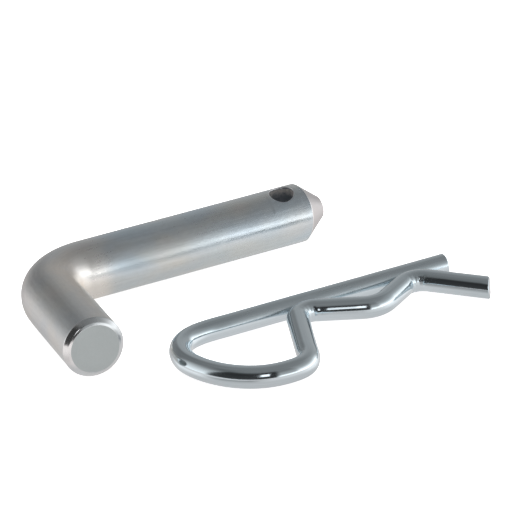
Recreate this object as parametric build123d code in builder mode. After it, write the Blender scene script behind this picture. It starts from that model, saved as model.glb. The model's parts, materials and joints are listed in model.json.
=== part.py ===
from build123d import *
import os

# Bent hitch pin with its one-piece spring-wire clip laid down beside it.
# Units are millimetres.  +Z is up.  The origin is the centre of the pin's cross hole,
# on the shaft's centreline.  +X runs along the shaft to its pointed tip, the pin's bent
# leg runs along -Y, and both pieces rest on the plane Z = -PIN_D / 2.

# ------------------------------------------------------------------ driving dimensions
PIN_D = 12.70            # bar of the pin, half an inch
HOLE_TO_CORNER = 55.25   # cross hole to the crossing of the shaft's and the leg's centrelines
HOLE_TO_TIP = 9.15       # cross hole to the very end of the nose
LEG_LENGTH = 35.10       # shaft centreline to the leg's cut end
BEND_R = 10.27           # centreline radius of the bend
LEG_CHAMFER_AXIAL = 0.95
LEG_CHAMFER_RADIAL = 1.33
CONE_LENGTH = 5.40       # pointed tip, along the shaft
NOSE_FLAT_R = 2.05       # radius of the cut-off nose before its edge is rounded
NOSE_ROUND = 1.50
EDGE_ROUND = 0.30        # run-out between the cone and the shaft

HOLE_D = 5.20            # cross hole for the clip's straight leg
HOLE_RIM = 0.20          # broken edge of the hole's mouths
HOLE_CLOCK = 12.0        # degrees the hole is turned about the shaft, away from square to the bend

WIRE_D = 4.60            # spring wire
CLIP_X = 22.25           # free end of the clip's straight leg
CLIP_Y = -33.02          # centreline of the clip's straight leg
ARM_RISE = 0.72          # the spring arm rides this much above the straight leg
WIRE_END_BREAK = 0.35    # broken edge of the cropped wire ends
ARM_CROP = 18.0          # degrees the arm's end is cropped off square
KNUCKLE_R = 2.60         # round face on which the arm turns at the loop's crown
KNUCKLE_GAP = 0.05

# Centreline of the wire in the clip's own plane: u runs back from the free end of the
# straight leg (negative towards the loop), v is the distance from the straight leg.
LOOP = [
    (-48.38, 0.00), (-54.56, 0.14), (-57.77, 1.14), (-60.40, 3.63), (-61.58, 6.93),
    (-61.56, 10.92), (-60.42, 14.63), (-58.49, 18.42), (-55.23, 22.36), (-51.15, 25.07),
    (-46.33, 26.08), (-42.69, 25.30), (-41.10, 23.15), (-40.25, 20.25),
]
ARM = [(-35.33, 3.341), (-20.294, 11.298), (-9.333, 3.382), (2.040, 16.280)]
ARM_BENDS = [3.47, 5.36, 4.00]   # neck, shaft pocket and crest

os.makedirs("parts", exist_ok=True)

pin_r = PIN_D / 2
wire_r = WIRE_D / 2
clip_z = -pin_r + wire_r


def clip_point(u, v, rise=0.0):
    """A point of the clip's centreline in the part's own frame."""
    return Vector(CLIP_X + u, CLIP_Y - v, clip_z + rise)


def loop_rise(i):
    """Rise of the loop's i-th point: flat on the leg's side, ARM_RISE at the web."""
    t = min(max((i - 4) / (len(LOOP) - 5), 0.0), 1.0)
    return ARM_RISE * t * t * (3 - 2 * t)


# ------------------------------------------------------------------ bent pin
corner_x = -HOLE_TO_CORNER
shaft_end = HOLE_TO_TIP

with BuildPart() as bent_pin:
    # round bar: leg, bend and shaft in one sweep
    with BuildLine() as pin_line:
        FilletPolyline(
            (corner_x, -LEG_LENGTH, 0),
            (corner_x, 0, 0),
            (shaft_end, 0, 0),
            radius=BEND_R,
        )
    with BuildSketch(Plane(origin=(corner_x, -LEG_LENGTH, 0), z_dir=(0, 1, 0))):
        Circle(pin_r)
    sweep()

    # chamfer round the leg's cut end
    leg_rim = bent_pin.edges().filter_by(GeomType.CIRCLE).sort_by(Axis.Y)[0]
    leg_face = bent_pin.faces().sort_by(Axis.Y)[0]
    chamfer(leg_rim, LEG_CHAMFER_RADIAL, LEG_CHAMFER_AXIAL, reference=leg_face)

    # pointed tip: the bar outside a rounded cone is turned away
    with BuildSketch(Plane.XZ) as tip_waste:
        with BuildLine():
            Polyline(
                (shaft_end - CONE_LENGTH, pin_r),
                (shaft_end, NOSE_FLAT_R),
                (shaft_end, 0),
                (shaft_end + 2, 0),
                (shaft_end + 2, pin_r + 2),
                (shaft_end - CONE_LENGTH, pin_r + 2),
                close=True,
            )
        make_face()
    revolve(axis=Axis.X, mode=Mode.SUBTRACT)
    nose = bent_pin.faces().filter_by(Axis.X).sort_by(Axis.X)[-1]
    fillet(nose.edges(), NOSE_ROUND)
    cone_base = (
        bent_pin.edges()
        .filter_by(GeomType.CIRCLE)
        .filter_by_position(Axis.X, shaft_end - CONE_LENGTH - 0.01, shaft_end - CONE_LENGTH + 0.01)
    )
    fillet(cone_base, EDGE_ROUND)

    # cross hole with both mouths' edges broken
    hole_plane = Plane(origin=(0, 0, 0), x_dir=(1, 0, 0), z_dir=Vector(0, 0, 1).rotate(Axis.X, HOLE_CLOCK))
    with BuildSketch(hole_plane):
        Circle(HOLE_D / 2)
    extrude(amount=pin_r + 2, both=True, mode=Mode.SUBTRACT)
    mouths = bent_pin.edges(Select.LAST).filter_by(GeomType.LINE, reverse=True)
    chamfer(mouths, HOLE_RIM)
bent_pin.part.label = "bent_pin"

# ------------------------------------------------------------------ clip centreline
with BuildLine() as straight_run:
    Line(clip_point(0, 0), clip_point(*LOOP[0]))

arm_start = clip_point(*LOOP[-1], ARM_RISE)
arm_points = [arm_start] + [clip_point(*p, ARM_RISE) for p in ARM]
with BuildLine() as arm_run:
    FilletPolyline(*arm_points, radius=ARM_BENDS)

with BuildLine() as loop_run:
    Spline(
        *[clip_point(*p, loop_rise(i)) for i, p in enumerate(LOOP)],
        tangents=[(-1, 0, 0), (arm_points[1] - arm_points[0]).normalized()],
    )
loop_edge = loop_run.edges()[0]

# the crown is the loop's farthest point from the clip's free ends
crown_t = min((i / 400 for i in range(401)), key=lambda t: loop_edge.position_at(t).X)
crown = loop_edge.position_at(crown_t)

# ------------------------------------------------------------------ straight leg of the clip
with BuildPart() as clip_straight_leg:
    with BuildLine() as leg_path:
        add(straight_run.edges())
        add(loop_edge.trim(0.0, crown_t))
    with BuildSketch(Plane(origin=clip_point(0, 0), z_dir=(-1, 0, 0))):
        Circle(wire_r)
    sweep(path=leg_path.wires()[0])
    chamfer(clip_straight_leg.edges().filter_by(GeomType.CIRCLE).sort_by(Axis.X)[-1], WIRE_END_BREAK)
    # hollow round seat for the arm's knuckle at the crown
    with BuildSketch(Plane.XY.offset(clip_z)):
        with Locations((crown.X, crown.Y)):
            Circle(KNUCKLE_R + KNUCKLE_GAP)
    extrude(amount=WIRE_D, both=True, mode=Mode.SUBTRACT)
clip_straight_leg.part.label = "clip_straight_leg"

# ------------------------------------------------------------------ spring arm of the clip
stub_t = max(crown_t - 3.6 / loop_edge.length, 0.0)
arm_end = arm_points[-1]
arm_dir = (arm_points[-1] - arm_points[-2]).normalized()
crop_dir = arm_dir.rotate(Axis.Z, ARM_CROP)
with BuildPart() as clip_spring_arm:
    with BuildLine() as arm_path:
        add(loop_edge.trim(stub_t, 1.0))
        add(arm_run.edges())
        # a little spare wire past the end, for the crop to take off
        Line(arm_end, arm_end + arm_dir * wire_r)
    stub = loop_edge.position_at(stub_t)
    with BuildSketch(Plane(origin=stub, z_dir=loop_edge.tangent_at(stub_t))):
        Circle(wire_r)
    sweep(path=arm_path.wires()[0])
    split(bisect_by=Plane(origin=arm_end, z_dir=crop_dir), keep=Keep.BOTTOM)
    cropped = clip_spring_arm.faces().filter_by(GeomType.PLANE).sort_by(Axis((0, 0, 0), crop_dir))[-1]
    chamfer(cropped.edges(), WIRE_END_BREAK)
    # the stub before the crown is cut to a round knuckle
    with BuildSketch(Plane.XY.offset(clip_z)):
        with Locations((crown.X, crown.Y)):
            Rectangle(14, 7, align=(Align.CENTER, Align.MIN))
            Circle(KNUCKLE_R, mode=Mode.SUBTRACT)
    extrude(amount=WIRE_D, both=True, mode=Mode.SUBTRACT)
clip_spring_arm.part.label = "clip_spring_arm"

for piece in (bent_pin, clip_straight_leg, clip_spring_arm):
    export_step(piece.part, f"parts/{piece.part.label}.step")
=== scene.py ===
# A bent round pin and its sprung wire clip, both zinc plated, on a studio floor.
# Metres, +Z up.  The pin's shaft lies on the X axis with its tapered nose at +X; at the other
# end the bar bends into a leg that points to -Y.  The clip's straight leg runs along X.  At the
# -X end its wire loops round on the -Y side and comes back towards +X as the wavy spring arm.
import json
import math

import bmesh
import bpy
import numpy as np
from mathutils import Matrix, Vector


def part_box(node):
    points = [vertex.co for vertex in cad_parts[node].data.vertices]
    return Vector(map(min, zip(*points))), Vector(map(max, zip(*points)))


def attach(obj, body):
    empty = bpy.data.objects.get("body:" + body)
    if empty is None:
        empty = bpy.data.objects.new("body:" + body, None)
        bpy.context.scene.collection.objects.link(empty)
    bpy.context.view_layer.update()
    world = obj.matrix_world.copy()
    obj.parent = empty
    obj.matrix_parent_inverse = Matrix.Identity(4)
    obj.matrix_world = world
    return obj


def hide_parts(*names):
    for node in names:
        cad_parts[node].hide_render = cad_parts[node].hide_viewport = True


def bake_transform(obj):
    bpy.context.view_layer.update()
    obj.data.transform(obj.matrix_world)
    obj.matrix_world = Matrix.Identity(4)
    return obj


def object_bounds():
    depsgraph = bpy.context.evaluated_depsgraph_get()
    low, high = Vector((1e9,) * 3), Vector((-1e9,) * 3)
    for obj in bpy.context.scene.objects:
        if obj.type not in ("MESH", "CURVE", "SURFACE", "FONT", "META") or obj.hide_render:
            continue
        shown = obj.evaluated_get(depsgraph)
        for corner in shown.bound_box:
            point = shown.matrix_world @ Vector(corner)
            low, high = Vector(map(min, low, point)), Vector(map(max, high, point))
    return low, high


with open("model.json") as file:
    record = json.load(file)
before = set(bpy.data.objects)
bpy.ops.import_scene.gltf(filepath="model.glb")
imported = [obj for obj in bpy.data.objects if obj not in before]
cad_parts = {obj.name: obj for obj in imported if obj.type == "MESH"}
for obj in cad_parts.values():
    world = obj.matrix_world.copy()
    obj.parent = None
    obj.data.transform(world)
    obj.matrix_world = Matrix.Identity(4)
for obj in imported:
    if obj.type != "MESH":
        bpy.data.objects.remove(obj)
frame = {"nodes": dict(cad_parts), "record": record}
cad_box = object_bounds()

MM = 0.001
UP = np.array([0, 0, 1.0])
scene = bpy.context.scene

# Horizontal directions of the picture, shared by the camera, the floor and the world
CAMERA_TURN = math.radians(20.178)         # from +Y towards +X
TO_CAMERA = (-math.sin(CAMERA_TURN), -math.cos(CAMERA_TURN), 0)
TO_RIGHT = (math.cos(CAMERA_TURN), -math.sin(CAMERA_TURN), 0)


# ---------------------------------------------------------------------------- curves
def smooth(x):
    x = np.clip(x, 0.0, 1.0)
    return x * x * (3.0 - 2.0 * x)


def unit(vector):
    return vector / np.linalg.norm(vector)


def spline(points, start_tangent, end_tangent, samples):
    """Clamped C2 cubic through the points, with chord-length parameter, sampled evenly in it."""
    knots = np.array(points, float)
    chord = np.r_[0.0, np.cumsum(np.linalg.norm(np.diff(knots, axis=0), axis=1))]
    gap = np.diff(chord)
    count = len(knots)
    system = np.zeros((count, count))
    target = np.zeros((count, knots.shape[1]))
    system[0, 0] = system[-1, -1] = 1.0
    target[0], target[-1] = start_tangent, end_tangent
    for i in range(1, count - 1):
        before, after = gap[i - 1], gap[i]
        system[i, i - 1] = after
        system[i, i] = 2 * (before + after)
        system[i, i + 1] = before
        target[i] = 3 * (
            after * (knots[i] - knots[i - 1]) / before
            + before * (knots[i + 1] - knots[i]) / after
        )
    slopes = np.linalg.solve(system, target)
    out = []
    for place in np.linspace(0, chord[-1], samples):
        i = min(int(np.searchsorted(chord, place, side="right")) - 1, count - 2)
        x = (place - chord[i]) / gap[i]
        out.append(
            (2 * x**3 - 3 * x**2 + 1) * knots[i]
            + (x**3 - 2 * x**2 + x) * slopes[i] * gap[i]
            + (-2 * x**3 + 3 * x**2) * knots[i + 1]
            + (x**3 - x**2) * slopes[i + 1] * gap[i]
        )
    return np.array(out)


def fillet(before, corner, after, radius):
    """Turn of the tangent arc that rounds a corner, and a function from fraction to its points."""
    back, ahead = unit(before - corner), unit(after - corner)
    angle = math.acos(max(-1, min(1, back @ ahead)))
    setback = radius / math.tan(angle / 2)
    centre = corner + unit(back + ahead) * radius / math.sin(angle / 2)
    start = corner + back * setback - centre
    end = corner + ahead * setback - centre
    turn = math.pi - angle

    def at(fraction):
        from_start = math.sin((1 - fraction) * turn) * start
        return centre + (from_start + math.sin(fraction * turn) * end) / math.sin(turn)

    return turn, at


def bent_line(points, radii, step):
    """Straight runs joined by tangent arcs, sampled about every step."""
    corners = [np.array(p, float) for p in points]
    out = [corners[0]]

    def straight_to(end):
        start = out[-1]
        count = max(1, int(np.linalg.norm(end - start) / step))
        for k in range(1, count + 1):
            out.append(start + (end - start) * k / count)

    for i, radius in enumerate(radii, 1):
        turn, at = fillet(*corners[i - 1:i + 2], radius)
        straight_to(at(0))
        count = max(8, int(radius * turn / step))
        out.extend(at(k / count) for k in range(1, count + 1))
    straight_to(corners[-1])
    return np.array(out)


def rounded_profile(points, radii, segments):
    """(along, radius) polyline with rounded corners; radii has one entry per inner corner."""
    corners = [np.array(p, float) for p in points]
    out = [corners[0]]
    for i, radius in enumerate(radii, 1):
        _, at = fillet(*corners[i - 1:i + 2], radius)
        out.extend(at(k / segments) for k in range(segments + 1))
    out.append(corners[-1])
    return np.array(out)


class Wave:
    """Seeded sum of sines: a smooth, repeatable unevenness over (along, angle)."""

    def __init__(self, seed, count, along, around):
        """along is the range of radians per metre, around the range of waves per turn."""
        random = np.random.RandomState(seed)
        self.along = random.uniform(*along, count) * random.choice([-1, 1], count)
        self.around = random.randint(around[0], around[1] + 1, count)
        self.phase = random.uniform(0, 2 * math.pi, count)
        self.height = random.uniform(0.5, 1.0, count)
        self.height /= np.sqrt((self.height**2).sum() / 2)

    def __call__(self, place, angle):
        terms = zip(self.along, self.around, self.phase, self.height)
        return sum(h * np.sin(k * place + m * angle + p) for k, m, p, h in terms)


# ---------------------------------------------------------------------------- meshes
def bridge(row, next_row, flip=False):
    """Quads between two closed rows of vertex numbers."""
    faces = []
    for n in range(len(row)):
        m = (n + 1) % len(row)
        if flip:
            faces.append((row[n], next_row[n], next_row[m], row[m]))
        else:
            faces.append((row[n], row[m], next_row[m], next_row[n]))
    return faces


def tube_faces(ring_count, columns, is_open=lambda i, j: False):
    """Quads between stacked rings, and end fans to the two points that follow the rings."""
    faces = []
    for i in range(ring_count - 1):
        row = range(i * columns, (i + 1) * columns)
        next_row = range((i + 1) * columns, (i + 2) * columns)
        quads = bridge(row, next_row)
        faces += [quad for j, quad in enumerate(quads) if not is_open(i, j)]
    first = ring_count * columns
    last_ring = first - columns
    for j in range(columns):
        k = (j + 1) % columns
        faces.append((first, k, j))
        faces.append((first + 1, last_ring + j, last_ring + k))
    return faces


def make_object(name, verts, faces, attributes):
    mesh = bpy.data.meshes.new(name)
    mesh.from_pydata([tuple(v) for v in verts], [], faces)
    for key, values in attributes.items():
        is_vector = values.ndim == 2
        attribute = mesh.attributes.new(key, "FLOAT_VECTOR" if is_vector else "FLOAT", "POINT")
        flat = np.asarray(values, np.float32).ravel()
        attribute.data.foreach_set("vector" if is_vector else "value", flat)
    obj = bpy.data.objects.new(name, mesh)
    scene.collection.objects.link(obj)
    bm = bmesh.new()
    bm.from_mesh(mesh)
    bmesh.ops.recalc_face_normals(bm, faces=bm.faces)
    for face in bm.faces:
        face.smooth = True
    bm.to_mesh(mesh)
    bm.free()
    mesh.update()
    return obj


# ---------------------------------------------------------------------------- bent pin
PIN_COLUMNS = 192                  # vertices round the bar
BEND_RADIUS = 10.27 * MM           # of the centreline
CENTRE_RADIUS = 0.25 * MM          # innermost ring of the cut end and of the nose
DIMPLE_DEPTH = 0.035 * MM          # in the middle of the cut end
CONE_LENGTH = 5.40 * MM
NOSE_RADIUS = 2.05 * MM
CONE_LEAD = 1.15 * MM              # how far the cone's base edge runs on at its furthest
CONE_LEAD_ANGLE = math.radians(57)  # where it does, from the top towards the -Y side
HOLE_RIM = 0.17 * MM               # rounding at the cross hole's mouths
WINDOW_HALF_LENGTH = 3.45 * MM     # remeshed window round each mouth, along the bar
WINDOW_HALF_COLUMNS = 24
WINDOW_STEPS = 24
BORE_STEPS = 26

# Values of the pin's "zone" attribute
BAR, CUT_FACE, RIM, CONE, BORE = range(5)


def build_pin():
    low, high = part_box("bent_pin")
    radius = high.z
    leg_x = low.x + radius
    leg_end = low.y
    tip = high.x
    hole = next(m for m in frame["record"]["mounts"] if m["name"] == "cross_hole")
    axis = Vector(hole["axis"]).normalized()
    clock = math.atan2(-axis.y, axis.z)    # the hole's turn about the shaft
    hole_radius = hole["dims"]["r_mm"] * MM
    hole_x = hole["pos_m"][0]
    # angle 0 is up, and 90 degrees is the inside of the bend
    angles = clock + np.arange(PIN_COLUMNS) * 2 * math.pi / PIN_COLUMNS

    bend_start = -leg_end - BEND_RADIUS
    bend_end = bend_start + BEND_RADIUS * math.pi / 2
    shaft_x = leg_x + BEND_RADIUS

    def place(along):
        """Centre, and the direction to the inside of the bend, at a distance along the bar."""
        if along <= bend_start:
            return np.array([leg_x, leg_end + along, 0]), np.array([1.0, 0, 0])
        if along <= bend_end:
            turn = (along - bend_start) / BEND_RADIUS
            inward = np.array([math.cos(turn), -math.sin(turn), 0])
            return np.array([shaft_x, -BEND_RADIUS, 0]) - BEND_RADIUS * inward, inward
        return np.array([shaft_x + along - bend_end, 0, 0]), np.array([0, -1.0, 0])

    def along_at(x):
        return bend_end + (x - shaft_x)

    # waviness of the drawn bar, and the slight squash that bending leaves
    long_wave = Wave(11, 14, (60, 420), (1, 5))
    fine_wave = Wave(12, 22, (25, 240), (6, 26))
    hole_along = along_at(hole_x)

    def unevenness(along):
        body = smooth((along - 1.2 * MM) / (2 * MM))
        body *= smooth((hole_along + 4.6 * MM - along) / (1.5 * MM))
        wave = long_wave(along, angles) * 0.006 * MM + fine_wave(along, angles) * 0.0022 * MM
        bent = smooth((along - bend_start + 3 * MM) / (6 * MM))
        bent *= smooth((bend_end + 3 * MM - along) / (6 * MM))
        inside = np.sin(angles)
        outer_squash = 0.10 * MM * np.maximum(-inside, 0) ** 2
        inner_squash = 0.05 * MM * np.maximum(inside, 0) ** 4
        return (wave - 0.02 * MM) * body - bent * (outer_squash + inner_squash)

    rings = []      # (positions, bar coordinates, zone)

    def ring(along, ring_radius, zone=BAR):
        centre, inward = place(along)
        radii = np.full(PIN_COLUMNS, ring_radius)
        if zone == BAR:
            radii = radii + unevenness(along)
        across = np.c_[radii * np.cos(angles), radii * np.sin(angles)]
        points = centre + across[:, :1] * UP + across[:, 1:] * inward
        rings.append((points, np.c_[np.full(PIN_COLUMNS, along), across], zone))

    # cut end: face with a dimple, chamfer, first of the bar
    bar_from = 2.2 * MM
    end_profile = rounded_profile(
        [
            (0.0, CENTRE_RADIUS),
            (0.0, radius - 1.27 * MM),
            (0.22 * MM, radius - 0.80 * MM),
            (1.09 * MM, radius),
            (bar_from, radius),
        ],
        [0.14 * MM, 0.60 * MM, 0.34 * MM],
        segments=7,
    )
    for q in np.linspace(CENTRE_RADIUS, end_profile[1][1], 16)[:-1]:
        dimple = DIMPLE_DEPTH * math.exp(-((q / (0.9 * MM)) ** 2))
        ring(dimple + 0.012 * MM * math.sin(q / (0.33 * MM)), q, CUT_FACE)
    for k, (along, q) in enumerate(end_profile[1:]):
        ring(along, q, CUT_FACE if k == 0 else RIM if k < len(end_profile) - 3 else BAR)
    # leg, bend, shaft up to the windows round the cross hole, and past them
    for along in np.arange(bar_from + 0.45 * MM, bend_start, 0.5 * MM):
        ring(along, radius)
    for along in np.linspace(bend_start, bend_end, 72):
        ring(along, radius)
    window_from = along_at(hole_x - WINDOW_HALF_LENGTH)
    window_to = along_at(hole_x + WINDOW_HALF_LENGTH)
    shaft_rings = int((window_from - bend_end) / (0.45 * MM))
    for along in np.linspace(bend_end, window_from, shaft_rings)[1:]:
        ring(along, radius)
    first = len(rings) - 1
    for along in np.linspace(window_from, window_to, WINDOW_STEPS + 1)[1:]:
        ring(along, radius)
    last = len(rings) - 1
    # cone and nose
    corner_segments = 9
    cone_profile = rounded_profile(
        [
            (window_to, radius),
            (along_at(tip - CONE_LENGTH), radius),
            (along_at(tip), NOSE_RADIUS),
            (along_at(tip), CENTRE_RADIUS),
        ],
        [0.30 * MM, 1.50 * MM],
        corner_segments,
    )
    for k, (along, q) in enumerate(cone_profile[1:]):
        ring(along, q, BAR if k < 2 else RIM if k < corner_segments else CONE)
    # the cone was turned a little off the bar's centre, so its base edge is slanted
    lead = CONE_LEAD * np.maximum(np.cos(angles - CONE_LEAD_ANGLE), 0) ** 1.5
    for points, bar, _ in rings[last + 1:]:
        q = math.hypot(bar[0, 1], bar[0, 2])
        push = lead * min(1.0, max(0.0, (q - NOSE_RADIUS) / (radius - NOSE_RADIUS)))
        points[:, 0] += push
        bar[:, 0] += push
    # more rings along the plain cone so its streaks and shading are even
    nose = last + corner_segments + 2
    base_ring, nose_ring = rings[nose - 1], rings[nose]
    rings[nose:nose] = [
        (
            base_ring[0] * (1 - w) + nose_ring[0] * w,
            base_ring[1] * (1 - w) + nose_ring[1] * w,
            CONE,
        )
        for w in np.linspace(0, 1, 12)[1:-1]
    ]

    # the rings, then the centre points of the cut end and the nose
    verts = [*np.vstack([r[0] for r in rings]), rings[0][0].mean(0), rings[-1][0].mean(0)]
    bars = [*np.vstack([r[1] for r in rings]), [DIMPLE_DEPTH, 0, 0], rings[-1][1].mean(0)]
    zones = [r[2] for r in rings for _ in range(PIN_COLUMNS)] + [CUT_FACE, CONE]
    half_turn = PIN_COLUMNS // 2

    def in_window(i, j):
        """Is the quad (i, j) inside either window of the cross hole?"""
        if not first <= i < last:
            return False
        offsets = [(j - c + half_turn) % PIN_COLUMNS - half_turn for c in (0, half_turn)]
        return any(-WINDOW_HALF_COLUMNS <= d < WINDOW_HALF_COLUMNS for d in offsets)

    faces = tube_faces(len(rings), PIN_COLUMNS, in_window)

    def add_row(points, coords, zone):
        start = len(verts)
        verts.extend(points)
        bars.extend(coords)
        zones.extend([zone] * len(points))
        return range(start, len(verts))

    # (column offset, ring) round a window
    side_columns = WINDOW_HALF_COLUMNS
    edge = [(j, last) for j in range(-side_columns, side_columns)]
    edge += [(side_columns, i) for i in range(last, first, -1)]
    edge += [(j, first) for j in range(side_columns, -side_columns, -1)]
    edge += [(-side_columns, i) for i in range(first, last)]
    edge_along = np.array([rings[i][1][0, 0] for _, i in edge]) - hole_along
    edge_turn = np.array([j for j, _ in edge]) * 2 * math.pi / PIN_COLUMNS
    around = np.arctan2(edge_turn * radius, edge_along)    # each point's angle about the hole
    # the hole's frame: along the bar, square to the hole, along the hole
    hole_axes = np.array([
        [1.0, 0, 0],
        [0, -math.cos(clock), -math.sin(clock)],
        [0, -math.sin(clock), math.cos(clock)],
    ])
    hole_centre = np.array([hole_x, 0, 0])
    mouth = hole_radius + HOLE_RIM
    mouth_height = np.sqrt(radius**2 - (mouth * np.sin(around)) ** 2)
    patch_rings = 10
    ends = []
    for side in (1, -1):
        columns = [j if side == 1 else half_turn - j for j, _ in edge]
        rows = [[i * PIN_COLUMNS + c % PIN_COLUMNS for c, (_, i) in zip(columns, edge)]]
        # on the bar's surface, from the window's edge to the hole's mouth
        for k in range(1, patch_rings + 1):
            w = (k / patch_rings) ** 0.8
            x = edge_along * (1 - w) + mouth * np.cos(around) * w
            turn = edge_turn * (1 - w) + np.arcsin(mouth * np.sin(around) / radius) * w
            local = np.c_[x, radius * np.sin(turn), side * radius * np.cos(turn)]
            angle = clock + (turn if side == 1 else math.pi - turn)
            coords = np.c_[hole_along + x, radius * np.cos(angle), radius * np.sin(angle)]
            rows.append(add_row(hole_centre + local @ hole_axes, coords, BAR))
        # rounded rim down into the bore
        for tilt in np.linspace(0, math.pi / 2, 7)[1:]:
            q = hole_radius + HOLE_RIM * (1 - math.sin(tilt))
            z = mouth_height - HOLE_RIM * (1 - math.cos(tilt))
            local = np.c_[q * np.cos(around), q * np.sin(around), side * z]
            points = hole_centre + local @ hole_axes
            rows.append(add_row(points, local + [hole_along, 0, 0], RIM))
        for row, next_row in zip(rows[:-1], rows[1:]):
            faces += bridge(row, next_row, flip=side == -1)
        ends.append(rows[-1])
    # bore wall
    top, bottom = ends
    top_verts, bottom_verts = (np.array([verts[n] for n in row]) for row in ends)
    top_bars, bottom_bars = (np.array([bars[n] for n in row]) for row in ends)
    row = top
    for k in range(1, BORE_STEPS + 1):
        w = k / BORE_STEPS
        if k == BORE_STEPS:
            next_row = bottom
        else:
            next_row = add_row(
                (1 - w) * top_verts + w * bottom_verts, (1 - w) * top_bars + w * bottom_bars, BORE
            )
        faces += bridge(row, next_row)
        row = next_row
    # drop the unused window vertices
    used = np.zeros(len(verts), bool)
    used[np.concatenate(faces)] = True
    index = np.cumsum(used) - 1
    faces = [tuple(int(index[v]) for v in face) for face in faces]
    bars = np.array(bars)[used]
    bend = smooth((bars[:, 0] - bend_start + 7 * MM) / (9 * MM))
    bend = bend * smooth((bend_end + 9 * MM - bars[:, 0]) / (14 * MM))
    attributes = {
        "bar": bars * 1000.0,      # millimetres along and across the bar
        "zone": np.array(zones, float)[used],
        "bend": bend,
    }
    return make_object("pin_bar", np.array(verts)[used], faces, attributes)


# ---------------------------------------------------------------------------- wire clip
# Centreline of the wire in mm, from the straight leg's +X end: (towards +X, towards -Y)
LOOP = [
    (-48.38, 0.00), (-54.56, 0.14), (-57.77, 1.14), (-60.40, 3.63), (-61.58, 6.93),
    (-61.56, 10.92), (-60.42, 14.63), (-58.49, 18.42), (-55.23, 22.36), (-51.15, 25.07),
    (-46.33, 26.08), (-42.69, 25.30), (-41.10, 23.15), (-40.25, 20.25),
]
# Corners of the arm, the first of them its neck, and the bend radii at all but the last, in mm
ARM = [(-35.33, 3.341), (-20.294, 11.298), (-9.333, 3.382), (2.040, 16.280)]
ARM_BENDS = [3.47, 5.36, 4.00]
ARM_RISE = 0.72                # mm, the arm's height above the leg
RISE_FROM = 4                  # loop point where the wire starts to rise
ARM_CROP = 18.0                # degrees, the arm's end face's turn about the vertical
WIRE_COLUMNS = 72
WIRE_STEP = 0.17 * MM
TIGHT = 0.45                   # level above which a bend counts as tight


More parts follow.
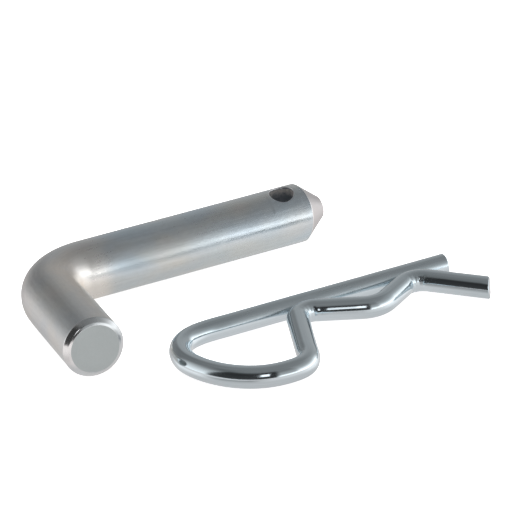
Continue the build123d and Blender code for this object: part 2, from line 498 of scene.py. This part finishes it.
def build_clip():
    """The clip, and how far each of its vertices follows the spring arm."""
    leg_low, leg_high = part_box("clip_straight_leg")
    cad = np.array([v.co for v in frame["nodes"]["clip_straight_leg"].data.vertices])
    end = cad[cad[:, 0] > leg_high.x - 0.45 * MM]
    leg_y = (end[:, 1].min() + end[:, 1].max()) / 2
    wire_radius = (end[:, 2].max() - end[:, 2].min()) / 2
    leg_z = leg_low.z + wire_radius

    def point(x, y, height=0.0):
        return np.array([leg_high.x + x * MM, leg_y - y * MM, leg_z + height * MM])

    rise_steps = len(LOOP) - 1 - RISE_FROM
    loop_points = [
        point(x, y, ARM_RISE * smooth((i - RISE_FROM) / rise_steps))
        for i, (x, y) in enumerate(LOOP)
    ]
    arm_points = [loop_points[-1]] + [point(x, y, ARM_RISE) for x, y in ARM]
    leg = bent_line([point(0, 0), loop_points[0]], [], 0.4 * MM)
    loop = spline(loop_points, [-1, 0, 0], unit(arm_points[1] - arm_points[0]), 300)
    arm = bent_line(arm_points, [b * MM for b in ARM_BENDS], 0.16 * MM)
    path = np.vstack([leg, loop[1:], arm[1:]])
    lengths = np.r_[0, np.cumsum(np.linalg.norm(np.diff(path, axis=0), axis=1))]
    loop_start = lengths[len(leg) - 1]
    loop_end = lengths[len(leg) + len(loop) - 2]
    # even spacing
    along = np.arange(0, lengths[-1], WIRE_STEP)
    along = np.r_[along[:-1], lengths[-1]]
    centre = np.array([np.interp(along, lengths, path[:, axis]) for axis in range(3)]).T
    tangent = np.gradient(centre, along, axis=0)
    tangent /= np.linalg.norm(tangent, axis=1)[:, None]
    # smoothed curvature, pointing to the inside of each bend
    bending = np.gradient(tangent, along, axis=0)
    kernel = np.exp(-0.5 * (np.arange(-9, 10) / 3.5) ** 2)
    kernel /= kernel.sum()
    bending = np.array([
        np.convolve(np.pad(bending[:, axis], 9, mode="edge"), kernel, "valid")
        for axis in range(3)
    ]).T
    curvature = np.linalg.norm(bending, axis=1)
    angles = np.arange(WIRE_COLUMNS) * 2 * math.pi / WIRE_COLUMNS
    long_wave = Wave(21, 10, (90, 700), (1, 4))
    fine_wave = Wave(22, 16, (60, 500), (5, 18))
    tight = smooth((curvature * MM - 0.08) / 0.13)
    # each point's nearest tight bend, so the marks of forming can run on a little past it
    seeds = np.where(tight > TIGHT)[0]
    near = seeds[np.abs(along[:, None] - along[seeds][None, :]).argmin(1)]
    mark_reach = smooth(1.0 - np.abs(along - along[near]) / (2.0 * MM))
    bending = np.where((tight > TIGHT)[:, None], bending, bending[near])
    inward = bending / (np.linalg.norm(bending, axis=1)[:, None] + 1e-9)
    wander = np.cumsum(np.random.RandomState(7).normal(0, 0.05, len(along)))
    neck = along[int(np.argmin(np.linalg.norm(centre - arm_points[1], axis=1)))]

    def cross_axes(i):
        """Upward and sideways directions square to the wire."""
        above = unit(UP - tangent[i] * (UP @ tangent[i]))
        return above, np.cross(tangent[i], above)

    def wire_ring(i):
        above, aside = cross_axes(i)
        place = along[i]
        face_in = np.cos(angles - math.atan2(inward[i] @ aside, inward[i] @ above))
        radii = np.full(WIRE_COLUMNS, wire_radius)
        body = smooth((place - 0.6 * MM) / MM) * smooth((along[-1] - 0.6 * MM - place) / MM)
        wave = long_wave(place, angles) * 0.0035 * MM + fine_wave(place, angles) * 0.0011 * MM
        radii += body * wave
        # the wire is pressed a little flat on the inside of tight bends, with fine wrinkles
        radii -= tight[i] * 0.13 * MM * np.maximum(face_in, 0) ** 3
        phase = place / (1.55 * MM) * 2 * math.pi + wander[i] + 0.9 * np.sin(0.7 * place / MM)
        wrinkle = max(tight[i], 0.8 * mark_reach[i]) * 0.030 * MM * math.sin(phase)
        radii += wrinkle * np.maximum(face_in, 0) ** 1.5
        # past the neck the bending die left it a little thinner on its upper -Y side
        grip = smooth(1 - (place - (neck + 3.0 * MM)) / (2.6 * MM))
        grip *= smooth((place - neck - 0.6 * MM) / (1.6 * MM))
        grip_angle = math.atan2(-aside[1] * 0.86, 0.5)
        radii -= grip * 0.065 * MM * np.maximum(np.cos(angles - grip_angle), 0) ** 2
        # a softer squash on the outside of every bend
        radii -= 0.03 * MM * smooth(curvature[i] * MM / 0.08) * np.maximum(-face_in, 0) ** 2
        across = np.c_[radii * np.cos(angles), radii * np.sin(angles)]
        return (
            centre[i] + across[:, :1] * above + across[:, 1:] * aside,
            np.c_[np.full(WIRE_COLUMNS, place), across],
            smooth((place - loop_start) / (loop_end - loop_start)),
            tight[i] * np.maximum(face_in, 0),
            0.0,
        )

    # cropped ends: rounded edge, then flat face towards the centre
    rounding = rounded_profile(
        [(0.8 * MM, wire_radius), (0.0, wire_radius), (0.0, 0.15 * MM)], [0.38 * MM], segments=8
    )
    flat = [(0.0, q) for q in np.linspace(rounding[-2][1], 0.12 * MM, 8)[1:]]
    end_profile = [*rounding[1:-1], *flat]

    def cap_rings(i, sign, crop, weight):
        """Rings from the tube to the end's centre; sign is the outward way along the wire."""
        above, aside = cross_axes(i)
        lean = math.tan(math.radians(crop))
        rows = []
        for depth, q in end_profile:
            across = np.c_[q * np.cos(angles), q * np.sin(angles)]
            shift = -sign * (depth - sign * lean * across[:, 1:])
            rows.append((
                centre[i] + across[:, :1] * above + across[:, 1:] * aside + shift * tangent[i],
                np.c_[along[i] + shift, across],
                weight,
                np.zeros(WIRE_COLUMNS),
                1.0 if depth < 0.02 * MM else 0.4,
            ))
        return rows

    # the caps replace the ends of the swept tube
    swept = np.flatnonzero((along >= 0.5 * MM) & (along <= along[-1] - 1.3 * MM))
    rows = cap_rings(0, -1, 0.0, 0.0)[::-1]
    rows += [wire_ring(i) for i in swept]
    rows += cap_rings(len(along) - 1, 1, ARM_CROP, 1.0)
    points, bars, weights, pinches, zones = zip(*rows)
    attributes = {
        "bar": np.vstack([*bars, bars[0].mean(0), bars[-1].mean(0)]) * 1000.0,
        "zone": np.r_[np.repeat(zones, WIRE_COLUMNS), 1.0, 1.0],
        "pinch": np.r_[np.concatenate(pinches), 0.0, 0.0],
    }
    verts = np.vstack([*points, points[0].mean(0), points[-1].mean(0)])
    obj = make_object("clip_wire", verts, tube_faces(len(rows), WIRE_COLUMNS), attributes)
    return obj, np.r_[np.repeat(weights, WIRE_COLUMNS), 0.0, 1.0]


# ---------------------------------------------------------------------------- shader graphs
def rgba(colour):
    """A colour from a grey level or a red, green, blue triple; sockets pass through."""
    if isinstance(colour, bpy.types.NodeSocket):
        return colour
    return (*colour, 1.0) if isinstance(colour, tuple) else (colour, colour, colour, 1.0)


class Graph:
    """Short names for building a node tree; most methods return an output socket."""

    def __init__(self, owner, output_kind):
        owner.use_nodes = True
        self.tree = owner.node_tree
        self.tree.nodes.clear()
        self.output = self.new(output_kind)

    def new(self, kind, inputs=None, **settings):
        node = self.tree.nodes.new(kind)
        for key, value in settings.items():
            setattr(node, key, value)
        for key, value in (inputs or {}).items():
            self.put(node, key, value)
        return node

    def put(self, node, key, value):
        socket = node.inputs[key]
        if isinstance(value, bpy.types.NodeSocket):
            self.tree.links.new(value, socket)
        else:
            socket.default_value = value

    def out(self, kind, inputs=None, output=0, **settings):
        return self.new(kind, inputs, **settings).outputs[output]

    def calc(self, operation, a, b=0.0, clamp=False):
        return self.out("ShaderNodeMath", {0: a, 1: b}, operation=operation, use_clamp=clamp)

    def add(self, a, b):
        return self.calc("ADD", a, b)

    def mul(self, a, b, clamp=False):
        return self.calc("MULTIPLY", a, b, clamp)

    def swing(self, noise, amount, clamp=False):
        """The noise about its middle, scaled; clamp keeps only its upper half."""
        return self.mul(self.calc("SUBTRACT", noise, 0.5, clamp), amount)

    def degrees(self, operation, a, b=0.0):
        return self.mul(self.calc(operation, a, b), 57.2958)

    def near(self, x, target, width):
        """1 where x is within width of target."""
        return self.out("ShaderNodeMath", {0: x, 1: target, 2: width}, operation="COMPARE")

    def dot(self, vector, direction):
        inputs = {0: vector, 1: direction}
        return self.out("ShaderNodeVectorMath", inputs, "Value", operation="DOT_PRODUCT")

    def split(self, vector):
        return self.new("ShaderNodeSeparateXYZ", {0: vector}).outputs

    def attribute(self, name, output="Fac"):
        return self.out("ShaderNodeAttribute", output=output, attribute_name=name)

    def scaled(self, vector, scale, offset=(0, 0, 0)):
        inputs = {"Vector": vector, "Scale": scale, "Location": offset}
        return self.out("ShaderNodeMapping", inputs)

    def noise(self, vector, scale, detail, roughness):
        inputs = {"Vector": vector, "Scale": scale, "Detail": detail, "Roughness": roughness}
        return self.out("ShaderNodeTexNoise", inputs)

    def stretched(self, vector, stretch, detail, roughness, offset=(0, 0, 0)):
        """Noise with its own scale on each axis."""
        return self.noise(self.scaled(vector, stretch, offset), 1.0, detail, roughness)

    def ramp(self, factor, stops, interpolation="LINEAR"):
        """Colour ramp from (place, colour or grey) stops."""
        node = self.new("ShaderNodeValToRGB", {0: factor})
        elements = node.color_ramp.elements
        while len(elements) < len(stops):
            elements.new(0.5)
        for element, (place, colour) in zip(elements, stops):
            element.position = place
            element.color = rgba(colour)
        node.color_ramp.interpolation = interpolation
        return node.outputs[0]

    def map_range(self, x, source, target=(0.0, 1.0), kind="LINEAR"):
        inputs = dict(enumerate((x, *source, *target)))
        return self.out("ShaderNodeMapRange", inputs, interpolation_type=kind, clamp=True)

    def ease(self, x, source, target=(0.0, 1.0)):
        return self.map_range(x, source, target, "SMOOTHSTEP")

    def profile(self, x, *stops):
        """Eased level along x, from (x, level) stops."""
        low, high = stops[0][0], stops[-1][0]
        places = [((place - low) / (high - low), level) for place, level in stops]
        return self.ramp(self.map_range(x, (low, high)), places, "EASE")

    def bright_ramp(self, factor, stops, low, high):
        """Ramp of (place, level) stops, halved and doubled as a ramp's colours hold at most 1."""
        places = [((place - low) / (high - low), level / 2) for place, level in stops]
        return self.mix(1.0, self.ramp(factor, places), 2.0, "MULTIPLY")

    def mix(self, factor, first, second, blend="MIX"):
        inputs = {0: factor, 6: rgba(first), 7: rgba(second)}
        return self.out("ShaderNodeMix", inputs, 2, data_type="RGBA", blend_type=blend)

    def mix_value(self, factor, first, second):
        return self.out("ShaderNodeMix", {0: factor, 2: first, 3: second}, data_type="FLOAT")

    def shade(self, colour, amount, pattern, *stops):
        """The colour multiplied by a ramp of the pattern."""
        return self.mix(amount, colour, self.ramp(pattern, stops), "MULTIPLY")

    def bump(self, height, strength, distance):
        inputs = {"Height": height, "Strength": strength, "Distance": distance}
        return self.out("ShaderNodeBump", inputs)


def metal_graph(name):
    """A material, its graph, and the Principled shader that feeds the output."""
    material = bpy.data.materials.new(name)
    g = Graph(material, "ShaderNodeOutputMaterial")
    shader = g.new("ShaderNodeBsdfPrincipled")
    g.put(g.output, 0, shader.outputs[0])
    return material, g, shader


# ---------------------------------------------------------------------------- pin's plating
def pin_material():
    material, g, shader = metal_graph("satin_zinc_pin")
    bar = g.attribute("bar", "Vector")
    zone = g.attribute("zone")
    bend = g.attribute("bend")
    face = g.near(zone, CUT_FACE, width=0.3)
    rim = g.near(zone, RIM, width=0.4)
    cone = g.near(zone, CONE, width=0.4)
    bore = g.near(zone, BORE, width=0.6)

    # patterns, with their frequency per mm along and across the bar
    streaks = g.stretched(bar, (0.05, 1.6, 1.6), detail=5.0, roughness=0.6)
    short_streaks = g.stretched(
        bar, (0.30, 2.6, 2.6), detail=3.0, roughness=0.55, offset=(3, 1, 5)
    )
    dashes = g.stretched(bar, (0.55, 1.9, 1.9), detail=4.0, roughness=0.62, offset=(7, 3, 2))
    cloud = g.stretched(bar, (0.055, 0.10, 0.10), detail=2.0, roughness=0.5, offset=(9, 2, 4))
    patch = g.stretched(bar, (0.12, 0.20, 0.20), detail=2.0, roughness=0.5, offset=(2, 6, 9))
    mottle = g.stretched(bar, (0.9, 1.5, 1.5), detail=5.0, roughness=0.6, offset=(1, 7, 2))
    grain = g.noise(bar, scale=3.2, detail=3.0, roughness=0.6)

    # mm from the leg's cut end, above the centreline, and towards the inside of the bend
    along, above, inner = g.split(bar)

    # blue-grey, with straw and faintly pink patches, warmer where the bar is bent
    tints = [
        (0.40, (0.665, 0.760, 0.825)),
        (0.54, (0.705, 0.770, 0.815)),
        (0.64, (0.745, 0.775, 0.775)),
        (0.74, (0.775, 0.755, 0.765)),
    ]
    colour = g.ramp(g.add(cloud, g.mul(bend, 0.12)), tints)
    colour = g.mix(g.mul(bend, 0.55), colour, (0.775, 0.745, 0.725))
    # neutral leg, with a warm tint on its inner side, where it is also painted lighter as painted
    # light
    leg = g.profile(along, (30.0, 1.0), (46.0, 0.0))
    colour = g.mix(g.mul(leg, 0.7), colour, (0.755, 0.760, 0.755))
    warm_tint_and_painted_light = g.mul(
        g.profile(along, (0.0, 0.8), (30.0, 1.0), (40.0, 0.4), (47.0, 0.0)),
        g.profile(inner, (-1.5, 0.0), (3.5, 1.0)),
    )
    colour = g.mix(g.mul(warm_tint_and_painted_light, 0.80), colour, (0.850, 0.800, 0.745))
    colour = g.shade(colour, 0.8, patch, (0.32, (0.93, 0.96, 0.99)), (0.68, (1.04, 1.02, 0.99)))
    colour = g.shade(colour, 0.6, streaks, (0.30, 0.90), (0.70, 1.05))
    colour = g.shade(colour, 0.6, mottle, (0.30, 0.92), (0.72, 1.05))
    # painted shade: the colour is darkened on the flank just past the bend, on the band where the
    # highlight lies, to dim that highlight
    highlight_dimming = g.mul(
        g.profile(along, (43.0, 0.0), (51.0, 1.0), (56.0, 0.9), (74.0, 0.0)),
        g.profile(above, (-0.6, 0.0), (1.6, 1.0), (2.2, 1.0), (4.2, 0.0)),
    )
    highlight_dimming = g.mul(highlight_dimming, g.profile(inner, (-1.0, 0.0), (1.0, 1.0)))
    highlight_dimming = g.mul(highlight_dimming, g.add(0.55, g.mul(mottle, 0.7)), clamp=True)
    colour = g.mix(highlight_dimming, colour, (0.72, 0.75, 0.76), "MULTIPLY")
    # painted highlight: a bright patch inside the bend
    bend_hot_spot = g.mul(
        g.profile(along, (33.0, 0.0), (38.0, 1.0), (42.0, 1.0), (46.0, 0.0)),
        g.profile(inner, (1.5, 0.0), (4.5, 1.0)),
    )
    colour = g.mix(g.mul(bend_hot_spot, 0.75), colour, (0.93, 0.925, 0.90))
    # cut face, cone, then rims and chamfer: polished on the chamfer's outer side, and lighter
    # towards the nose past 70 to 80 mm along, a painted highlight on the rims there, the cone's
    # base edge among them
    face_colour = g.mix(mottle, (0.440, 0.495, 0.500), (0.490, 0.530, 0.540))
    colour = g.mix(face, colour, face_colour)
    cone_colour = g.mix(cloud, (0.570, 0.545, 0.540), (0.600, 0.590, 0.595))
    colour = g.mix(g.mul(cone, 0.85), colour, cone_colour)
    outer_side = g.mul(
        g.profile(inner, (-5.0, 1.0), (-3.2, 0.9), (-1.5, 0.0)),
        g.profile(above, (-3.6, 0.0), (-1.2, 1.0)),
    )
    polish_and_edge_highlight = g.calc("MAXIMUM", outer_side, g.profile(along, (70.0, 0.0), (80.0, 1.0)))
    rim_colour = g.mix(polish_and_edge_highlight, (0.64, 0.68, 0.70), (0.95, 0.955, 0.965))
    colour = g.mix(g.mul(rim, 0.9), colour, rim_colour)
    # painted shade: the drilled wall's colour darkens with depth into the hole and stays lighter
    # near its mouth
    off_axis = g.calc("SQRT", g.add(g.mul(above, above), g.mul(inner, inner)))
    mouth = g.ease(g.add(off_axis, g.swing(mottle, 3.0)), (3.9, 6.3))
    bore_shade_colour = g.mix(mouth, (0.15, 0.165, 0.19), (0.64, 0.60, 0.57))
    colour = g.mix(g.mul(bore, 0.92), colour, bore_shade_colour)
    g.put(shader, "Base Color", colour)
    g.put(shader, "Metallic", g.mix_value(bore, 1.0, 0.55))

    # satin on the leg, smoother towards the nose
    rough = g.ramp(streaks, [(0.25, 0.25), (0.75, 0.35)])
    rough = g.add(rough, g.swing(mottle, 0.16))
    along_bar = g.profile(
        along, (0.0, 0.26), (26.0, 0.24), (36.0, 0.16), (44.0, 0.14), (51.0, 0.20),
        (62.0, 0.15), (80.0, 0.09), (90.0, 0.08),
    )
    rough = g.add(rough, g.calc("SUBTRACT", along_bar, 0.14))
    rim_rough = g.profile(inner, (-1.5, 0.16), (2.5, 0.30))
    for mask, level in ((face, 0.46), (rim, rim_rough), (cone, 0.40), (bore, 0.45)):
        rough = g.mix_value(mask, rough, level)
    g.put(shader, "Roughness", rough)

    # relief: short drawing marks along the bar, fine grain, faint turning rings on the cut end
    turning = g.out(
        "ShaderNodeTexWave",
        {
            "Vector": g.scaled(bar, (0.0, 1.0, 1.0)),
            "Scale": 1.1,
            "Distortion": 1.2,
            "Detail": 2.0,
        },
        "Fac",
        wave_type="RINGS",
        rings_direction="SPHERICAL",
        wave_profile="SIN",
    )
    height = g.mul(short_streaks, 0.35)
    for pattern, amount in ((streaks, 0.45), (dashes, 0.9), (grain, 0.16)):
        height = g.add(height, g.mul(pattern, amount))
    height = g.mix_value(face, height, g.add(g.mul(turning, 0.16), g.mul(grain, 0.50)))
    height = g.mix_value(g.mul(rim, 0.8), height, g.mul(grain, 0.1))
    g.put(shader, "Normal", g.bump(height, strength=0.55, distance=0.04 * MM))
    return material


# ---------------------------------------------------------------------------- clip's plating
def clip_material():
    material, g, shader = metal_graph("bright_zinc_clip")
    bar = g.attribute("bar", "Vector")
    zone = g.attribute("zone")
    pinch = g.attribute("pinch")
    face = g.near(zone, 1.0, width=0.3)
    drawn = g.stretched(bar, (0.06, 3.0, 3.0), detail=5.0, roughness=0.6)
    cloud = g.stretched(bar, (0.12, 0.3, 0.3), detail=3.0, roughness=0.5, offset=(4, 4, 1))
    fine = g.stretched(bar, (1.4, 5.0, 5.0), detail=4.0, roughness=0.6, offset=(2, 8, 3))
    colour = g.mix(cloud, (0.655, 0.765, 0.820), (0.705, 0.775, 0.818))
    colour = g.shade(colour, 0.6, drawn, (0.30, 0.90), (0.70, 1.04))
    colour = g.mix(g.mul(face, 0.8), colour, (0.72, 0.73, 0.74))
    g.put(shader, "Base Color", colour)
    g.put(shader, "Metallic", 1.0)
    rough = g.ramp(drawn, [(0.25, 0.060), (0.78, 0.115)])
    haze = g.stretched(bar, (0.075, 0.22, 0.22), detail=3.0, roughness=0.55, offset=(5, 1, 7))
    rough = g.add(rough, g.swing(haze, 0.9, clamp=True))
    # the straight leg keeps the satin of the drawn wire; the formed part is burnished
    along = g.split(bar)[0]
    satin = g.ease(g.add(along, g.mul(haze, 10.0)), (46.0, 62.0), (0.12, 0.0))
    rough = g.add(rough, satin)
    rough = g.add(rough, g.mul(pinch, 0.06))
    g.put(shader, "Roughness", g.mix_value(face, rough, 0.34))
    height = g.add(g.mul(drawn, 0.5), g.mul(fine, 0.25))
    g.put(shader, "Normal", g.bump(height, strength=0.30, distance=0.01 * MM))
    return material


# ---------------------------------------------------------------------------- floor
FLOOR_GAP = 0.02 * MM
# What a far floor mirrors as: (degrees from the camera's side, + to the right; brightness)
FAR_FLOOR = [
    (-180, 0.55), (-138, 0.55), (-114, 1.15), (-88, 1.20), (-74, 0.50), (-62, 0.34),
    (-26, 0.33), (-12, 0.62), (4, 0.76), (30, 0.86), (48, 0.90), (72, 1.15),
    (112, 1.25), (142, 0.85), (180, 0.65),
]


def build_floor():
    mesh = bpy.data.meshes.new("studio_floor")
    bm = bmesh.new()
    bmesh.ops.create_grid(bm, x_segments=8, y_segments=8, size=3.0)
    bm.to_mesh(mesh)
    bm.free()
    floor = bpy.data.objects.new("studio_floor", mesh)
    scene.collection.objects.link(floor)
    floor.location = (0, 0, cad_box[0].z - FLOOR_GAP)
    return floor


def floor_material():
    """White paper to the camera; in the metal it mirrors with a brightness of its own."""
    material = bpy.data.materials.new("studio_floor")
    g = Graph(material, "ShaderNodeOutputMaterial")
    coords = g.out("ShaderNodeTexCoord", output="Object")
    paper = g.noise(coords, scale=40.0, detail=4.0, roughness=0.6)
    lit = g.out("ShaderNodeBsdfDiffuse", {"Color": g.mix(paper, 0.80, 0.82)})
    glow = g.out("ShaderNodeEmission", {"Color": g.mix(paper, 0.985, 1.0), "Strength": 0.80})
    seen = g.out("ShaderNodeAddShader", {0: lit, 1: glow})

    # close to the metal, by distance and by place on the floor in metres
    path = g.new("ShaderNodeLightPath")
    reach = g.map_range(path.outputs["Ray Length"], (0.001, 0.022), (0.60, 0.78))
    x, y, _ = g.split(g.out("ShaderNodeNewGeometry", output="Position"))
    beneath = g.ease(y, (-0.026, -0.010))      # 1 under the pin's shaft, 0 out by the clip
    rightward = g.ease(x, (-0.040, 0.022), (0.97, 1.15))
    left_half = g.mul(
        g.ease(x, (-0.052, -0.040)),
        g.ease(x, (-0.010, 0.020), (1.0, 0.0)),
    )
    nearby = g.mix_value(beneath, g.ease(y, (-0.050, -0.038), (1.04, 1.20)), rightward)
    outer = g.ease(x, (-0.070, -0.058), (0.66, 1.0))
    level = g.mul(reach, g.mul(nearby, outer))

    # towards the horizon the floor takes on the brightness of the wall it runs out to
    incoming = g.out("ShaderNodeNewGeometry", output="Incoming")
    front, side, climb = (
        g.mul(g.dot(incoming, direction), -1.0)
        for direction in (TO_CAMERA, TO_RIGHT, (0, 0, 1))
    )
    elevation = g.degrees("ARCSINE", climb)
    bearing = g.degrees("ARCTAN2", side, front)
    far = g.bright_ramp(g.map_range(bearing, (-180.0, 180.0)), FAR_FLOOR, -180.0, 180.0)
    boost = g.mul(g.ease(x, (-0.056, -0.048), (1.0, 0.0)), g.ease(bearing, (-150.0, -120.0)))
    far = g.mix(boost, far, 0.85)
    level = g.mix_value(g.ease(elevation, (-42.0, -6.0)), level, far)
    hue = g.mix(g.mul(beneath, left_half), (1.03, 0.985, 0.970), (1.045, 0.985, 0.928))
    tinted = g.mix(0.5, hue, g.mix(paper, 0.985, 1.0), "MULTIPLY")
    mirrored = g.out("ShaderNodeEmission", {"Color": tinted, "Strength": level})
    is_glossy = path.outputs["Is Glossy Ray"]
    pick = g.out("ShaderNodeMixShader", {0: is_glossy, 1: seen, 2: mirrored})
    g.put(g.output, 0, pick)
    return material


# ---------------------------------------------------------------------------- camera
CAMERA_PLACE = (-0.19345, -0.50800, 0.24958)
CAMERA_DIP = math.radians(25.3985)
CAMERA_ROLL = math.radians(-6.3934)
CAMERA_LENS = 197.223047           # mm, on a 36 mm sensor


def add_camera():
    data = bpy.data.cameras.new("camera")
    camera = bpy.data.objects.new("camera", data)
    scene.collection.objects.link(camera)
    data.sensor_width = 36.0
    data.lens = CAMERA_LENS
    data.clip_start, data.clip_end = 0.02, 20.0
    ahead = -Vector(TO_CAMERA)
    level_right = Vector(TO_RIGHT)
    forward = math.cos(CAMERA_DIP) * ahead - Vector((0, 0, math.sin(CAMERA_DIP)))
    level_up = math.sin(CAMERA_DIP) * ahead + Vector((0, 0, math.cos(CAMERA_DIP)))
    right = math.cos(CAMERA_ROLL) * level_right + math.sin(CAMERA_ROLL) * level_up
    up = -math.sin(CAMERA_ROLL) * level_right + math.cos(CAMERA_ROLL) * level_up
    rows = zip(right, up, -forward, CAMERA_PLACE)
    camera.matrix_world = Matrix((*rows, (0, 0, 0, 1)))
    scene.camera = camera


# ---------------------------------------------------------------------------- light
def add_overhead():
    """A large soft disk overhead, which the metal doesn't mirror."""
    centre = (Vector(cad_box[0]) + Vector(cad_box[1])) / 2
    place = centre + Vector((0.05, -0.05, 1.6))
    data = bpy.data.lights.new("overhead", "AREA")
    data.energy = 58.0
    data.shape = "DISK"
    data.size = 2.2
    light = bpy.data.objects.new("overhead", data)
    scene.collection.objects.link(light)
    light.location = place
    light.rotation_mode = "QUATERNION"
    light.rotation_quaternion = (centre - place).to_track_quat("-Z", "Y")
    light.visible_glossy = False
    light.visible_camera = False


# ---------------------------------------------------------------------------- world
# The room the metal mirrors.  Each wall: (degrees above the horizon, brightness)
WALLS = {
    "back": [
        (0, 0.40), (9, 0.43), (25, 0.39), (35, 0.34), (47, 0.30), (60, 0.25), (90, 0.225),
    ],
    "back left": [
        (0, 0.44), (8, 0.30), (18, 0.23), (30, 0.19), (45, 0.20), (60, 0.23), (90, 0.225),
    ],
    "left": [
        (0, 1.30), (8, 1.10), (17, 0.86), (27, 0.66), (36, 0.48), (45, 0.27), (56, 0.15),
        (72, 0.22), (90, 0.225),
    ],
    "dark front": [
        (0, 0.12), (7, 0.05), (45, 0.03), (53, 0.06), (61, 0.20), (72, 0.24), (90, 0.225),
    ],
    "near right": [
        (0, 1.90), (6, 1.45), (11, 0.90), (17, 0.46), (28, 0.42), (40, 0.28), (50, 0.21),
        (60, 0.24), (90, 0.225),
    ],
    "right": [
        (0, 1.95), (8, 1.75), (15, 1.30), (22, 0.90), (29, 0.58), (38, 0.42), (50, 0.34),
        (62, 0.26), (90, 0.225),
    ],
}
# Where one wall gives way to the next: (azimuth, half width of the change, next wall),
# in degrees from the camera's side, + to the right
WALL_EDGES = [
    (-166, 9, "back left"), (-118, 12, "left"), (-77, 3.5, "dark front"),
    (14, 5, "near right"), (42, 6, "right"), (124, 15, "back"),
]


def build_world():
    world = bpy.data.worlds.new("studio")
    scene.world = world
    g = Graph(world, "ShaderNodeOutputWorld")
    direction = g.out("ShaderNodeTexCoord", output="Generated")
    front, side, high = (g.dot(direction, axis) for axis in (TO_CAMERA, TO_RIGHT, (0, 0, 1)))
    elevation = g.degrees("ARCSINE", high)
    azimuth = g.degrees("ARCTAN2", side, front)
    rise = g.calc("DIVIDE", elevation, 90.0, clamp=True)

    def change(x, edge, soft):
        return g.ease(x, (edge - soft, edge + soft))

    def band(x, low, high, soft):
        return g.mul(change(x, low, soft), g.calc("SUBTRACT", 1.0, change(x, high, soft)))

    walls = {name: g.bright_ramp(rise, stops, 0.0, 90.0) for name, stops in WALLS.items()}
    sky = walls["back"]
    for edge, soft, name in WALL_EDGES:
        sky = g.mix(change(azimuth, edge, soft), sky, walls[name])
    # one small soft box in the dark part
    box = g.mul(band(elevation, 21.5, 42.0, soft=1.5), band(azimuth, -14.5, 0.5, soft=1.5))
    sky = g.mix(box, sky, (1.55, 1.55, 1.57))
    g.put(g.output, 0, g.out("ShaderNodeBackground", {"Color": sky, "Strength": 1.0}))


# ---------------------------------------------------------------------------- build and attach
pin = build_pin()
pin.data.materials.append(pin_material())
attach(pin, "pin")
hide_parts("bent_pin")

clip, weights = build_clip()
clip.data.materials.append(clip_material())
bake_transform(clip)
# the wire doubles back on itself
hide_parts("clip_straight_leg", "clip_spring_arm")

floor = build_floor()
floor.data.materials.append(floor_material())

add_camera()
add_overhead()
build_world()

scene.view_settings.view_transform = "Standard"
scene.view_settings.look = "None"
scene.view_settings.exposure = 0.0
scene.view_settings.gamma = 1.0
